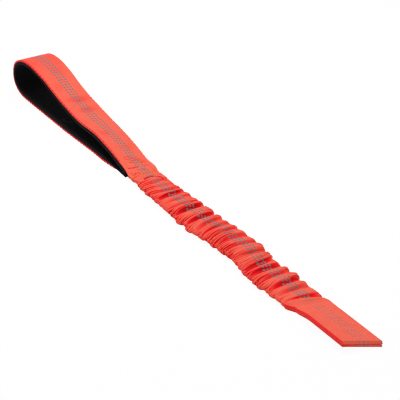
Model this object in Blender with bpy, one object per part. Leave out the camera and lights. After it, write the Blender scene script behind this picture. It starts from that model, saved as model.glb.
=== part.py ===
"""Bungee tug toy: a doubled webbing strap with a lined hand loop, a gathered casing over an elastic and a flat tail.

The strap lies along X, with the hand loop at -X and the tail at +X. The origin is on the underside of the strap,
in the middle of the sewn junction between the loop and the gathered casing. -Y is the near edge.
"""

import math

import bmesh
import bpy
import numpy as np

# Webbing, lining, elastic and thread, as bought
STRAP_WIDTH = 0.025
WEB = 0.0013
LINING = 0.0025
ELASTIC = 0.0022
ELASTIC_WIDTH = 0.016
THREAD = 0.0004
CLEAR = 0.0003

# Hand loop
HANDLE_LENGTH = 0.200
LOOP_HEIGHT = 0.0317
LOOP_TWIST = 0.0054
LOOP_EASING = 0.0025
LINING_REACH = 0.003

# Sewn junction
JUNCTION_REAR = 0.013
BOX_HALF_LENGTH = 0.009
BOX_HALF_WIDTH = 0.0082
TACK_SETBACK = 0.0018

# Gathered casing
CASING_LENGTH = 0.217
PUFF_HEIGHT = 0.0092
FOLD_DROP = 0.0031
FOLD_LIFT = 0.00015
PUFF_HALF_WIDTH = 0.0136
FOLD_DRAW_IN = 0.0022
FOLD_WIDTH = 0.0026
SEAM_HEIGHT = 0.003
DRIFT = 0.0045
START_RUN = 0.008
END_RUN = 0.0045
REAR_TAB_LENGTH = 0.0145
REAR_TACK_SETBACK = 0.0065
FOLD_SETBACK = 0.0015

# Tail
TAIL_LENGTH = 0.0572
TAIL_SLANT = 0.0061
TAIL_ROLL = math.radians(8)
ROLL_RUN = 0.025

# Stitches
EDGE_MARGIN = 0.002
GROOVE_DEPTH = 0.0009
GROOVE_HALF_WIDTH = 0.0006
STITCH = 0.0044
TACK_HALF_WIDTH = 0.0105
TACK_THROW = 0.0008
TACK_ZIGZAGS = 13
THREAD_SIDES = 4
PINCH_SHARE = 0.6

# Worked out from the sizes above
HALF = STRAP_WIDTH / 2
THREAD_RISE = CLEAR + THREAD / 2
ELASTIC_REST = WEB + 2 * CLEAR
ELASTIC_TOP = ELASTIC_REST + ELASTIC
JUNCTION_TOP = ELASTIC_TOP + CLEAR + WEB
FRONT_TAB_START = LINING_REACH + CLEAR
CASING_START = JUNCTION_REAR + CLEAR
CASING_END = JUNCTION_REAR + CASING_LENGTH
CASING_RINGS = round(CASING_LENGTH / (STITCH / 2)) + 3
REAR_TAB_END = CASING_END - END_RUN - CLEAR
REAR_TAB_START = REAR_TAB_END - REAR_TAB_LENGTH
TAIL_START = CASING_END + CLEAR
TAIL_END = TAIL_START + TAIL_LENGTH
TAIL_TOP = 2 * WEB + CLEAR
TAIL_SEAM_HEIGHT = WEB + CLEAR / 2
STITCH_LINE = HALF - EDGE_MARGIN

# The places where the strap folds, which are the hinge axes, and the front of what slides as the elastic stretches
HANDLE_FOLD = np.array((JUNCTION_REAR + FOLD_SETBACK, 0, SEAM_HEIGHT))
TAIL_FOLD = np.array((CASING_END - FOLD_SETBACK, 0, SEAM_HEIGHT))
REAR_SEAT = np.array((REAR_TAB_START, 0, SEAM_HEIGHT))
STRAP_FOOT = np.zeros(3)

# The loop's outer face from the lower leg round the tip to the crest. Each row is a share of the handle's length,
# measured from the tip, a share of the loop's height, and the twist there as a share of the loop's twist.
TIP_SHARES = (
    (0.62, 0.0, 0.0), (0.40, 0.0, 0.0), (0.22, 0.0, 0.0), (0.13, 0.0, 0.0), (0.095, 0.011, 0.0),
    (0.065, 0.044, 0.0), (0.040, 0.104, 0.0), (0.021, 0.196, 0.0), (0.011, 0.303, 0.0),
    (0.007, 0.442, 0.0), (0.0095, 0.593, 0.0), (0.021, 0.732, -0.1), (0.043, 0.852, -0.2),
    (0.075, 0.937, -0.26), (0.115, 0.987, -0.3), (0.160, 1.0, -0.32),
)

# The upper leg from the crest down to the junction, in the same way, but its height is a share of the crest's rise
# above the junction.
LEG_SHARES = (
    (0.205, 0.965, -0.3), (0.250, 0.896, -0.2), (0.303, 0.788, 0.08), (0.359, 0.681, 0.17), (0.415, 0.581, 0.17),
    (0.515, 0.458, 0.08), (0.600, 0.369, 0.15), (0.670, 0.327, 0.48), (0.730, 0.296, 0.8),
    (0.800, 0.227, 0.96), (0.858, 0.154, 0.95), (0.905, 0.088, 0.7), (0.950, 0.046, 0.5),
)

# Gathers: shares of the casing's length at the near edge and at the far edge, and a share of the full fold's drop
FOLD_SHARES = (
    (0.069, 0.051, 0.5), (0.101, 0.100, 0.4), (0.138, 0.140, 0.6), (0.186, 0.163, 1.0), (0.226, 0.217, 0.35),
    (0.267, 0.265, 0.5), (0.312, 0.294, 1.0), (0.386, 0.364, 1.0), (0.447, 0.413, 0.6), (0.484, 0.463, 0.5),
    (0.516, 0.502, 0.5), (0.558, 0.555, 0.6), (0.599, 0.615, 0.6), (0.659, 0.668, 0.5), (0.750, 0.709, 1.0),
    (0.779, 0.772, 0.9), (0.834, 0.816, 0.6), (0.889, 0.870, 0.8), (0.926, 0.917, 0.5), (0.972, 0.982, 0.9),
)

# How far the gathered stretch wanders towards the near edge: shares of its length and of the drift
DRIFT_SHARES = (
    (0.0, 0.0), (0.08, 0.75), (0.22, 0.75), (0.355, 1.0), (0.49, 0.45), (0.63, 0.15), (0.75, 0.8), (0.86, 0.75),
    (0.95, 0.6), (1.0, 0.0),
)

# The casing's section: turns from the far edge over the crown to the near edge, and how boxy the crown is
CROWN_TURNS = np.radians((0, 20, 65, 115, 160, 180))
BOXINESS_SHARE = 0.3

FINISHES = {
    "webbing": ((0.86, 0.13, 0.08), 0.75),
    "neoprene": ((0.012, 0.012, 0.014), 0.85),
    "thread": ((0.75, 0.06, 0.04), 0.6),
    "elastic": ((0.75, 0.73, 0.68), 0.7),
}


def clear_scene():
    for item in list(bpy.data.objects):
        bpy.data.objects.remove(item)


def material(name, finish):
    """The piece's own Principled material, with its colour and roughness."""
    colour, roughness = FINISHES[finish]
    made = bpy.data.materials.new(name)
    made.use_nodes = True
    shader = made.node_tree.nodes["Principled BSDF"]
    shader.inputs["Base Color"].default_value = (*colour, 1)
    shader.inputs["Roughness"].default_value = roughness
    return made


def loft(name, rings, finish, origin, closed=False):
    """A solid through rings of points, capped where the run is open. rings is (stations, points, 3)."""
    stations, around = rings.shape[:2]
    shape = bmesh.new()
    points = [shape.verts.new(point) for point in (rings - origin).reshape(-1, 3)]
    for i in range(stations if closed else stations - 1):
        here, there = i * around, (i + 1) % stations * around
        for j in range(around):
            k = (j + 1) % around
            shape.faces.new([points[n] for n in (here + j, here + k, there + k)])
            shape.faces.new([points[n] for n in (here + j, there + k, there + j)])
    if not closed:
        shape.faces.new(points[:around])
        shape.faces.new(points[-around:])
    bmesh.ops.recalc_face_normals(shape, faces=shape.faces)
    mesh = bpy.data.meshes.new(name)
    shape.to_mesh(mesh)
    shape.free()
    mesh.shade_smooth()
    mesh.set_sharp_from_angle(angle=math.radians(40))
    mesh.materials.append(material(name, finish))
    item = bpy.data.objects.new(name, mesh)
    item.location = origin
    bpy.context.scene.collection.objects.link(item)
    return item


def eased(x, places, values):
    """Values between chosen places, level at each place."""
    places, values = np.asarray(places), np.asarray(values)
    x = np.clip(x, places[0], places[-1])
    i = np.clip(np.searchsorted(places, x) - 1, 0, len(places) - 2)
    t = (x - places[i]) / (places[i + 1] - places[i])
    return values[i] + (values[i + 1] - values[i]) * t * t * (3 - 2 * t)


def between(points):
    """The same run of points with a middle point set between each two."""
    run = np.arange(2 * len(points) - 1) / 2
    return np.column_stack([np.interp(run, np.arange(len(points)), column) for column in points.T])


def thread(name, path, up, origin, pinch=1.0, closed=False):
    """Sewing thread along a path, pinched at every other point. No stretch of the path runs along up."""
    tangent = np.roll(path, -1, axis=0) - np.roll(path, 1, axis=0) if closed else np.gradient(path, axis=0)
    side = np.cross(up, tangent)
    side /= np.linalg.norm(side, axis=1, keepdims=True)
    rise = np.cross(tangent, side)
    rise /= np.linalg.norm(rise, axis=1, keepdims=True)
    turn = (np.arange(THREAD_SIDES) + 0.5) * math.tau / THREAD_SIDES
    radius = THREAD / 2 * np.where(np.arange(len(path)) % 2, pinch, 1)
    round_it = np.cos(turn)[:, None] * side[:, None] + np.sin(turn)[:, None] * rise[:, None]
    return loft(name, path[:, None] + radius[:, None, None] * round_it, "thread", origin, closed)


# Hand loop

def loop_outline():
    """The middle of the loop's outer face and its sine of twist, a stitch apart from the lower leg to the upper."""
    tip, leg = np.array(TIP_SHARES), np.array(LEG_SHARES)
    rise = LOOP_HEIGHT - JUNCTION_TOP
    heights = np.concatenate([(0,), tip[:, 1] * LOOP_HEIGHT, JUNCTION_TOP + leg[:, 1] * rise, (JUNCTION_TOP,) * 2])
    shares = np.concatenate([tip[:, 0], leg[:, 0]])
    places = np.concatenate([(JUNCTION_REAR,), (shares - 1) * HANDLE_LENGTH, (LINING_REACH, JUNCTION_REAR)])
    twist = np.concatenate([(0,), tip[:, 2], leg[:, 2], (0, 0)]) * LOOP_TWIST / STRAP_WIDTH
    rows = np.column_stack([places, heights, twist])
    run = np.concatenate([(0,), np.cumsum(np.hypot(np.diff(places), np.diff(heights)))])
    fine = np.linspace(0, run[-1], 10 * round(run[-1] / STITCH) + 1)
    dense = np.column_stack([np.interp(fine, run, column) for column in rows.T])
    reach = round(3 * LOOP_EASING / fine[1])
    weights = np.exp(-0.5 * (np.arange(-reach, reach + 1) * fine[1] / LOOP_EASING) ** 2)
    before = dense[:1] + np.arange(-reach, 0)[:, None] * (dense[1] - dense[0])
    after = dense[-1:] + np.arange(1, reach + 1)[:, None] * (dense[-1] - dense[-2])
    padded = np.vstack([before, dense, after])
    smooth = np.column_stack([np.convolve(column, weights / weights.sum(), "valid") for column in padded.T])
    return smooth[::10]


def loop_frame():
    """Points, directions across and directions outward along the loop's outer face."""
    place, height, twist = loop_outline().T
    along = np.gradient(np.column_stack([place, height]), axis=0)
    along /= np.linalg.norm(along, axis=1, keepdims=True)
    nothing = np.zeros_like(place)
    points = np.column_stack([place, nothing, height])
    outward = np.column_stack([-along[:, 1], nothing, along[:, 0]])
    sideways = np.array((0, 1, 0))
    upright = np.sqrt(1 - twist**2)[:, None]
    across = upright * sideways - twist[:, None] * outward
    outward = upright * outward + twist[:, None] * sideways
    return points, across, outward


def strip(points, across, outward, section):
    """Rings of a strip whose section is given across and inward from the loop's outer face."""
    places, depths = np.moveaxis(np.broadcast_to(section, (len(points), *section.shape[-2:])), -1, 0)
    return points[:, None] + places[..., None] * across[:, None] - depths[..., None] * outward[:, None]


def handle_webbing():
    """One layer of webbing from the junction round the loop and back, with a groove where each row of stitches lies."""
    near, far = -STITCH_LINE, STITCH_LINE
    outline = [(-HALF, 0)]
    for line in (near, far):
        outline.append((line - GROOVE_HALF_WIDTH, 0))
        outline.append((line - GROOVE_HALF_WIDTH, GROOVE_DEPTH))
        outline.append((line + GROOVE_HALF_WIDTH, GROOVE_DEPTH))
        outline.append((line + GROOVE_HALF_WIDTH, 0))
    outline += [(HALF, 0), (HALF, WEB), (-HALF, WEB)]
    loft("handle_webbing", strip(*loop_frame(), np.array(outline)), "webbing", STRAP_FOOT)


def lined_stretch():
    """The part of the loop's frame that the lining covers, and the height of the loop's low side there."""
    points, across, outward = loop_frame()
    lined = points[:, 0] < LINING_REACH
    upper = (across[:, 1] > 0) & (outward[:, 2] > 0)
    low_side = points[:, 2] - np.abs(across[:, 2]) * HALF
    order = np.argsort(points[upper, 0])
    room = np.interp(points[:, 0], points[upper, 0][order], low_side[upper][order])
    return points[lined], across[lined], outward[lined], room[lined]


def handle_lining():
    """One strip of neoprene inside the loop. Its two ends are pressed thin between the legs at the junction."""
    points, across, outward, room = lined_stretch()
    pressed = (room - 2 * WEB - 3 * CLEAR) / 2
    thick = np.minimum(LINING, pressed)
    face = np.full_like(thick, WEB + CLEAR)
    back = face + thick
    near, far = np.full_like(thick, -HALF), np.full_like(thick, HALF)
    corners = [(far, face), (near, face), (near, back), (far, back)]
    section = np.stack([np.stack(corner, axis=-1) for corner in corners], axis=1)
    loft("handle_lining", strip(points, across, outward, section), "neoprene", STRAP_FOOT)


def lining_stitches():
    """The two rows that hold the lining, sunk in the webbing's grooves."""
    points, across, outward, _ = lined_stretch()
    sunk = points - (GROOVE_DEPTH - THREAD_RISE) * outward
    for name, line in (("lining_stitch_near", -STITCH_LINE), ("lining_stitch_far", STITCH_LINE)):
        thread(name, between(sunk + line * across), (0, 1, 0), STRAP_FOOT, PINCH_SHARE)


# Sewn junction

def leg_top(x, y):
    """The height of the upper leg's outer face."""
    points, across, outward = loop_frame()
    upper = outward[:, 2] > 0
    order = np.argsort(points[upper, 0])
    places = points[upper, 0][order]
    slope = (across[:, 2] / across[:, 1])[upper][order]
    return np.interp(x, places, points[upper, 2][order]) + y * np.interp(x, places, slope)


def sewn_line(corners, closed=False):
    """Points on the upper leg along straight runs between corners, about a stitch apart."""
    ends = corners[1:] + corners[:1] if closed else corners[1:]
    runs = []
    for (x0, y0), (x1, y1) in zip(corners, ends):
        count = max(round(math.hypot(x1 - x0, y1 - y0) / STITCH), 2)
        share = np.arange(count) / count
        runs.append(np.column_stack([x0 + (x1 - x0) * share, y0 + (y1 - y0) * share]))
    if not closed:
        runs.append(np.array(corners[-1:]))
    x, y = np.vstack(runs).T
    return np.column_stack([x, y, leg_top(x, y) + THREAD_RISE])


def junction_box_stitch():
    """A sewn box with a cross in it, through both legs, the lining's ends and the elastic's end."""
    length, width = BOX_HALF_LENGTH, BOX_HALF_WIDTH
    up = (0, 0, 1)
    box = sewn_line([(-length, -width), (length, -width), (length, width), (-length, width)], closed=True)
    stitch = thread("junction_box_stitch", box, up, STRAP_FOOT, closed=True)
    for name, side in (("cross_rising", 1), ("cross_falling", -1)):
        line = sewn_line([(-length, -side * width), (length, side * width)])
        cross = thread(name, line, up, STRAP_FOOT)
        cross.hide_render = True
        cross.display_type = "WIRE"
        joined = stitch.modifiers.new(name, "BOOLEAN")
        joined.operation = "UNION"
        joined.solver = "EXACT"
        joined.object = cross


def zigzag(x):
    """A dense zigzag across the strap: places along and across."""
    count = 4 * TACK_ZIGZAGS + 1
    across = np.linspace(-TACK_HALF_WIDTH, TACK_HALF_WIDTH, count)
    along = x + TACK_THROW * np.where(np.arange(count) % 4 < 2, 1, -1)
    return along, across


def junction_bar_tack():
    """The tack that closes the junction beside the bungee."""
    x, y = zigzag(JUNCTION_REAR - TACK_SETBACK)
    thread("junction_bar_tack", np.column_stack([x, y, leg_top(x, y) + THREAD_RISE]), (0, 0, 1), STRAP_FOOT)


# Elastic and gathered casing

def laid(points):
    """Points of the bungee and the tail, rolled on the far edge where the tail is, and set off along the gathers."""
    x, y, z = np.moveaxis(points, -1, 0)
    roll = TAIL_ROLL * eased(x, (TAIL_START - ROLL_RUN, TAIL_START), (0, 1))
    reach = HALF - y
    rolled = HALF - reach * np.cos(roll) + z * np.sin(roll)
    places, shares = np.array(DRIFT_SHARES).T
    drift = DRIFT * eased(x, JUNCTION_REAR + places * CASING_LENGTH, shares)
    return np.stack([x, rolled - drift, reach * np.sin(roll) + z * np.cos(roll)], axis=-1)


def flat_strip(name, start, end, low, high, half_width, finish, origin, slant=0.0):
    """A flat strip along the bungee or the tail. Its end runs slant further on at the far edge than at the near edge."""
    x = np.linspace(start, end, max(round((end - start) / STITCH), 1) + 1)
    corners = ((-half_width, low), (half_width, low), (half_width, high), (-half_width, high))
    rings = np.array([[(place, y, z) for y, z in corners] for place in x])
    rings[-1, :, 0] += slant / 2 * rings[-1, :, 1] / half_width
    loft(name, laid(rings), finish, origin)


def elastic():
    """A flat elastic in three stretches: its two ends are sewn down, and the band between them stretches."""
    runs = (
        ("elastic_front_tab", FRONT_TAB_START, JUNCTION_REAR, STRAP_FOOT),
        ("elastic_band", CASING_START, REAR_TAB_START - CLEAR, HANDLE_FOLD),
        ("elastic_rear_tab", REAR_TAB_START, REAR_TAB_END, REAR_SEAT),
    )
    for name, start, end, origin in runs:
        flat_strip(name, start, end, ELASTIC_REST, ELASTIC_TOP, ELASTIC_WIDTH / 2, "elastic", origin)


def gather(x, v):
    """How deep the folds are, 0 to 1, at v across, which is -1 at the near edge and 1 at the far edge."""
    near, far, depth = np.array(FOLD_SHARES).T
    places = JUNCTION_REAR + ((near + far) / 2 + (far - near) / 2 * v[..., None]) * CASING_LENGTH
    return np.minimum((depth * np.exp(-(((x[..., None] - places) / FOLD_WIDTH) ** 2))).sum(axis=-1), 1)


def casing_faces():
    """The outer and the inner face of each layer, on a grid of stations and turns, before they are laid."""
    x, v = np.meshgrid(np.linspace(CASING_START, CASING_END, CASING_RINGS), np.cos(CROWN_TURNS), indexing="ij")
    fold = gather(x, v)
    opened = eased(x, (CASING_START, CASING_START + START_RUN), (0, 1))
    full = eased(x, (CASING_END - END_RUN, CASING_END), (1, 0))
    fullness = np.sin(CROWN_TURNS).clip(0) ** BOXINESS_SHARE
    half = HALF + (PUFF_HALF_WIDTH - FOLD_DRAW_IN * fold - HALF) * opened * full
    seam = TAIL_SEAM_HEIGHT + (SEAM_HEIGHT - TAIL_SEAM_HEIGHT) * full
    crown = JUNCTION_TOP + (PUFF_HEIGHT - FOLD_DROP * fold - JUNCTION_TOP) * opened
    crown = TAIL_TOP + (crown - TAIL_TOP) * full
    sole = FOLD_LIFT * fold * full
    faces = {}
    for name, edge, face, back in (
        ("casing_upper", seam + CLEAR / 2, crown, crown - WEB),
        ("casing_lower", seam - CLEAR / 2, sole, sole + WEB),
    ):
        outside = np.stack([x, half * v, edge + (face - edge) * fullness], axis=-1)
        inside = np.stack([x, (half - WEB) * v, edge + (back - edge) * fullness], axis=-1)
        faces[name] = outside, inside
    return faces


def casing_layers():
    """The upper and the lower layer of webbing, gathered over the elastic. They meet at the sewn edges."""
    for name, (outside, inside) in casing_faces().items():
        loft(name, laid(np.concatenate([outside, inside[:, ::-1]], axis=1)), "webbing", HANDLE_FOLD)


def casing_seams():
    """The row of stitches along each edge, which follows the puffs and folds of the upper layer."""
    outside, _ = casing_faces()["casing_upper"]
    offset = (CLEAR + THREAD) / math.sqrt(2)
    for name, turn, outward in (("casing_seam_far", 1, 1), ("casing_seam_near", -2, -1)):
        path = outside[:, turn] + (0, outward * offset, offset)
        thread(name, laid(path), (0, 1, 0), HANDLE_FOLD, PINCH_SHARE)


def casing_bar_tack():
    """The tack over the elastic's rear end, on the fabric's own puffs and folds."""
    outside, _ = casing_faces()["casing_upper"]
    stations = outside[:, 0, 0]
    path = []
    for x, y in zip(*zigzag(CASING_END - REAR_TACK_SETBACK)):
        section = [[np.interp(x, stations, column) for column in turn.T] for turn in outside.swapaxes(0, 1)]
        _, across, height = np.array(section[::-1]).T
        path.append((x, y, np.interp(y, across, height) + THREAD_RISE + CLEAR))
    thread("casing_bar_tack", laid(np.array(path)), (0, 0, 1), REAR_SEAT)


# Tail

def tail():
    """The two layers of webbing lying flat on each other, sewn together along both edges, cut off a little askew."""
    for name, low, high in (("tail_lower", 0, WEB), ("tail_upper", WEB + CLEAR, TAIL_TOP)):
        flat_strip(name, TAIL_START, TAIL_END, low, high, HALF, "webbing", TAIL_FOLD, TAIL_SLANT)
    for name, line in (("tail_seam_near", -STITCH_LINE), ("tail_seam_far", STITCH_LINE)):
        end = TAIL_END + TAIL_SLANT / 2 * line / HALF - EDGE_MARGIN
        x = np.linspace(TAIL_START, end, 2 * round(TAIL_LENGTH / STITCH) + 1)
        path = np.column_stack([x, np.full_like(x, line), np.full_like(x, TAIL_TOP + THREAD_RISE)])
        thread(name, laid(path), (0, 1, 0), TAIL_FOLD, PINCH_SHARE)


clear_scene()
handle_webbing()
handle_lining()
lining_stitches()
junction_box_stitch()
junction_bar_tack()
elastic()
casing_layers()
casing_seams()
casing_bar_tack()
tail()
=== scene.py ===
import math

import bpy
import numpy as np
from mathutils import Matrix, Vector


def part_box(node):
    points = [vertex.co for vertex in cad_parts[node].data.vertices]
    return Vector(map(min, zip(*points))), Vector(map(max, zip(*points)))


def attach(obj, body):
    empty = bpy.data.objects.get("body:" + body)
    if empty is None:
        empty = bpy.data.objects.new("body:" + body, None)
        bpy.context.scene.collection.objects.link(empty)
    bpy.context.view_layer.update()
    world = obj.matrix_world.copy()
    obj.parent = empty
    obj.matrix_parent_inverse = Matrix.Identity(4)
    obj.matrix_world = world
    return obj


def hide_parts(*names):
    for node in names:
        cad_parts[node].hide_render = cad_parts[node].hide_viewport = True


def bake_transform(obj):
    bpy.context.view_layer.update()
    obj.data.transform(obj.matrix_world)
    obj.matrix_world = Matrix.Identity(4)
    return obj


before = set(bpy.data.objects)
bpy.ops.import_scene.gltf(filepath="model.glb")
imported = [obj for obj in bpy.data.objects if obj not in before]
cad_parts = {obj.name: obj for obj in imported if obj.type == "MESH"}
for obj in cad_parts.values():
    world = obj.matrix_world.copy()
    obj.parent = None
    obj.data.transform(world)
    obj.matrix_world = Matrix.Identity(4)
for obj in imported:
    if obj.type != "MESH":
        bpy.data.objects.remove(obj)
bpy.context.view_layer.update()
scene = bpy.context.scene


# The camera that took the photograph: a long lens, low over the tail end, looking back along the strap to
# the hand loop.
CAMERA_PLACE = (1.0663, -0.5232, 0.5196)
CAMERA_AZIMUTH, CAMERA_ELEVATION = math.radians(61.84), math.radians(24.43)
CAMERA_LENS, CAMERA_REACH = 164.85, 20

camera_data = bpy.data.cameras.new("camera")
camera_data.lens = CAMERA_LENS
camera_data.clip_end = CAMERA_REACH
camera = bpy.data.objects.new("camera", camera_data)
camera.location = CAMERA_PLACE
camera.rotation_euler = (math.pi / 2 - CAMERA_ELEVATION, 0, CAMERA_AZIMUTH)
scene.collection.objects.link(camera)
scene.camera = camera


# Hand loop strap: one layer of 25 mm coral webbing with three rows of grey reflective dots woven in. It
# runs from the junction round the loop and back, and its own selvedge binds each edge.
STRAP_WIDTH = 0.025
HALF = STRAP_WIDTH / 2
WEB = 0.0013
CLEAR = 0.0003
STITCH, STITCH_INSET = 0.0044, 0.0004
STITCH_LINE = HALF - STITCH_INSET
HANDLE_LENGTH = 0.200
LOOP_HEIGHT = 0.0317
LOOP_TWIST = 0.0054
LOOP_EASING = 0.0025
LEVEL_FROM = 0.003
JUNCTION_TOP = 0.0057
JUNCTION_REAR = 0.013
STRAP_JOIN = JUNCTION_REAR + CLEAR / 2
STATION = 0.00044
SELVEDGE_TURNS = np.radians((-80, -45, 0, 45, 80))
SELVEDGE_ROUND = 0.0005
SELVEDGE_INSET = 1.15 * SELVEDGE_ROUND
OUTER_POINTS, INNER_POINTS = 41, 13

# Share of the handle's length from the tip, share of the loop's height, share of its twist, round the tip
TIP_SHARES = (
    (0.62, 0.0, 0.0), (0.40, 0.0, 0.0), (0.22, 0.0, 0.0), (0.13, 0.0, 0.0), (0.095, 0.011, 0.0),
    (0.065, 0.044, 0.0), (0.040, 0.104, 0.0), (0.021, 0.196, 0.0), (0.011, 0.303, 0.0),
    (0.007, 0.442, 0.0), (0.0095, 0.593, 0.0), (0.021, 0.732, -0.1), (0.043, 0.852, -0.2),
    (0.075, 0.937, -0.26), (0.115, 0.987, -0.3), (0.160, 1.0, -0.32),
)
# The same for the upper leg, with its height as a share of the crest's rise above the junction
LEG_SHARES = (
    (0.205, 0.965, -0.3), (0.250, 0.896, -0.2), (0.303, 0.788, 0.08), (0.359, 0.681, 0.17),
    (0.415, 0.581, 0.17), (0.515, 0.458, 0.08), (0.600, 0.369, 0.15), (0.670, 0.327, 0.48),
    (0.730, 0.296, 0.8), (0.800, 0.227, 0.96), (0.858, 0.154, 0.95), (0.905, 0.088, 0.7),
    (0.950, 0.046, 0.5),
)


def eased(x, places, values):
    """Values between chosen places, level at each place: a cubic ramp 3t^2 - 2t^3 from each to the next."""
    places, values = np.asarray(places, float), np.asarray(values, float)
    x = np.clip(x, places[0], places[-1])
    i = np.clip(np.searchsorted(places, x) - 1, 0, len(places) - 2)
    t = (x - places[i]) / (places[i + 1] - places[i])
    return values[i] + (values[i + 1] - values[i]) * t * t * (3 - 2 * t)


def loop_line():
    """Points, directions across and outward, and the run along the strap, for the loop's outer face. The
    outline is the tables of shares joined by straight runs and averaged with bell weights exp(-d^2 / 2),
    where d is the distance in easings."""
    tip, leg = np.array(TIP_SHARES), np.array(LEG_SHARES)
    leg_heights = JUNCTION_TOP + leg[:, 1] * (LOOP_HEIGHT - JUNCTION_TOP)
    heights = np.concatenate([(0,), tip[:, 1] * LOOP_HEIGHT, leg_heights, (JUNCTION_TOP,) * 2])
    shares = np.concatenate([tip[:, 0], leg[:, 0]])
    places = np.concatenate([(STRAP_JOIN,), (shares - 1) * HANDLE_LENGTH, (LEVEL_FROM, STRAP_JOIN)])
    twist = np.concatenate([(0,), tip[:, 2], leg[:, 2], (0, 0)]) * LOOP_TWIST / STRAP_WIDTH
    run = np.concatenate([(0,), np.cumsum(np.hypot(np.diff(places), np.diff(heights)))])
    fine = np.linspace(0, run[-1], round(run[-1] / STATION) + 1)
    gap = fine[1]
    dense = np.column_stack([np.interp(fine, run, column) for column in (places, heights, twist)])
    reach = round(3 * LOOP_EASING / gap)
    weights = np.exp(-0.5 * (np.arange(-reach, reach + 1) * gap / LOOP_EASING) ** 2)
    before = dense[:1] + np.arange(-reach, 0)[:, None] * (dense[1] - dense[0])
    after = dense[-1:] + np.arange(1, reach + 1)[:, None] * (dense[-1] - dense[-2])
    rows = np.vstack([before, dense, after])
    place, height, twist = (np.convolve(column, weights / weights.sum(), "valid") for column in rows.T)
    along = np.gradient(np.column_stack([place, height]), axis=0)
    step = np.linalg.norm(along, axis=1)
    along /= step[:, None]
    nothing = np.zeros_like(place)
    level, upright = np.array((0, 1, 0)), np.column_stack([-along[:, 1], nothing, along[:, 0]])
    lean = np.sqrt(1 - twist**2)[:, None]
    across = lean * level - twist[:, None] * upright
    outward = lean * upright + twist[:, None] * level
    return np.column_stack([place, nothing, height]), across, outward, np.cumsum(step)


def surface(name, rings, weave=None, dots=None):
    """Closed surfaces through rings of points, (stations, around, 3) or a stack of such: quads join each
    ring to the next, and a flat face closes each end. weave holds each point's place across and along the
    cloth and its painted shade, painted highlight where that is below 0, and dots how clear its reflective
    dots are."""
    rings = rings.reshape(-1, *rings.shape[-3:])
    count, stations, around = rings.shape[:3]
    corner = np.arange(count * stations * around).reshape(count, stations, around)
    turned = np.roll(corner, -1, axis=2)
    quads = (corner[:, :-1], turned[:, :-1], turned[:, 1:], corner[:, 1:])
    sides = np.stack(quads, axis=-1).reshape(-1, len(quads))
    ends = np.concatenate([corner[:, 0, ::-1], corner[:, -1]])
    here, beside, ahead = rings[:, :-1], np.roll(rings, -1, axis=2)[:, :-1], rings[:, 1:]
    spread = here - rings.mean(axis=2, keepdims=True)[:, :-1]
    if (np.cross(beside - here, ahead - here) * spread).sum() < 0:
        sides, ends = sides[:, ::-1], ends[:, ::-1]
    mesh = bpy.data.meshes.new(name)
    mesh.vertices.add(corner.size)
    mesh.vertices.foreach_set("co", rings.astype(np.float32).reshape(-1))
    corners = np.concatenate([sides.reshape(-1), ends.reshape(-1)])
    mesh.loops.add(corners.size)
    mesh.loops.foreach_set("vertex_index", corners.astype(np.int32))
    side_starts, end_starts = np.arange(0, sides.size, len(quads)), np.arange(0, ends.size, around)
    starts = np.concatenate([side_starts, sides.size + end_starts])
    mesh.polygons.add(len(starts))
    mesh.polygons.foreach_set("loop_start", starts.astype(np.int32))
    mesh.update(calc_edges=True)
    mesh.shade_smooth()
    if weave is not None:
        layer = mesh.attributes.new("weave", "FLOAT_VECTOR", "POINT")
        layer.data.foreach_set("vector", weave.astype(np.float32).reshape(-1))
    if dots is not None:
        clearness = np.broadcast_to(dots, rings.shape[:-1])
        layer = mesh.attributes.new("dots", "FLOAT", "POINT")
        layer.data.foreach_set("value", clearness.astype(np.float32).reshape(-1))
    item = bpy.data.objects.new(name, mesh)
    scene.collection.objects.link(item)
    return item


class Socket:
    """A node's output. A sum or product of sockets and numbers adds the Math nodes for it."""

    def __init__(self, finish, output):
        self.finish, self.output = finish, output

    def maths(self, operation, *others, swapped=False, **settings):
        values = (*others, self) if swapped else (self, *others)
        return self.finish.node("ShaderNodeMath", {"operation": operation, **settings}, *values)

    def clamped(self):
        """The value, held between 0 and 1."""
        return self.maths("MULTIPLY", 1.0, use_clamp=True)

    def __add__(self, other):
        return self.maths("ADD", other)

    def __sub__(self, other):
        return self.maths("SUBTRACT", other)

    def __rsub__(self, other):
        return self.maths("SUBTRACT", other, swapped=True)

    def __mul__(self, other):
        return self.maths("MULTIPLY", other)

    def __truediv__(self, other):
        return self.maths("DIVIDE", other)

    def __lt__(self, other):
        return self.maths("LESS_THAN", other)

    def __gt__(self, other):
        return self.maths("GREATER_THAN", other)

    __radd__, __rmul__ = __add__, __mul__


# Places of a node's outputs: an attribute's vector and its single value, and an object's own coordinates
VECTOR_OUTPUT, VALUE_OUTPUT, OBJECT_OUTPUT = 1, 2, 3


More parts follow.
